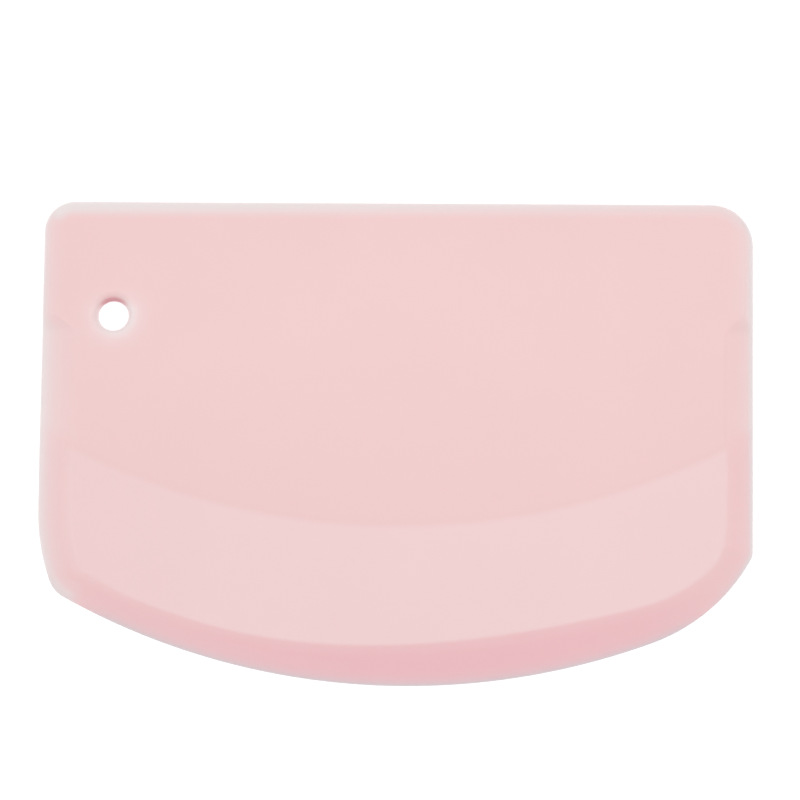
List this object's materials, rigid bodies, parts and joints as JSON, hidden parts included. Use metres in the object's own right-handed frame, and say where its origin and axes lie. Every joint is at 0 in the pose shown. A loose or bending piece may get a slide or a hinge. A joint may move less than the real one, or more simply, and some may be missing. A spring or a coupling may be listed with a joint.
{
  "type": "scraper card",
  "caption": "Flat flexible kitchen scraper card with a straight grip edge, a curved bevelled scraping lip and a round hang hole, in soft silicone over a stiff core plate.",
  "frame": {"origin": "middle of the outline's box, on the flat back face", "axes": "+X along the width, +Y towards the straight grip edge, +Z out of the front face, with the card lying on its back"},
  "size_m": [0.145, 0.0992, 0.0046],
  "materials": {
    "pink_silicone": "smooth, softly glossy pale pink silicone, a little translucent at thin edges",
    "natural_nylon": "matt natural nylon"
  },
  "bodies": {
    "root": {"silicone_jacket": "pink_silicone", "core_plate": "natural_nylon"}
  },
  "joints": []
}
